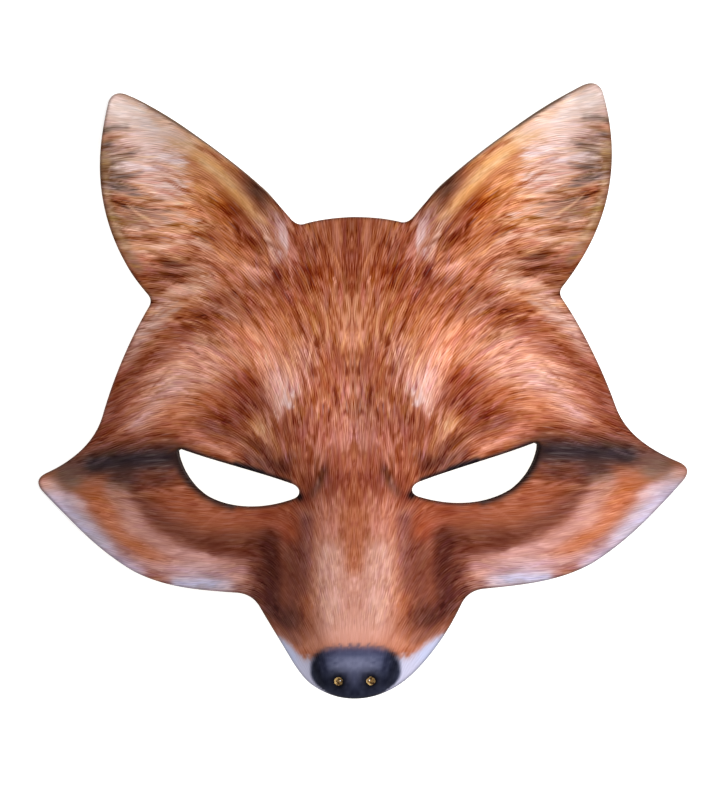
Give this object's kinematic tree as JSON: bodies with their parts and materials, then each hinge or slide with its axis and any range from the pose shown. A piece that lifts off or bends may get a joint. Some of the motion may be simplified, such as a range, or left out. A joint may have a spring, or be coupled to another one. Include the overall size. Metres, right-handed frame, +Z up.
{
  "type": "fox half mask",
  "caption": "Half mask shaped as the face of a fox, of thin moulded foam with a printed cloth face, covering the forehead, cheeks and nose, with ears, slanted eye holes and a muzzle.",
  "frame": {"origin": "under the middle of the mask's box, on the table that the mask lies on face up", "axes": "+Z up out of the face, +Y towards the ears, +X to the right of the face as it is looked at"},
  "size_m": [0.2318, 0.2131, 0.0844],
  "materials": {
    "printed_cloth": "matt knitted cloth printed with fox fur, bonded to foam sheet"
  },
  "bodies": {
    "root": {"mask_shell": "printed_cloth"}
  },
  "joints": []
}
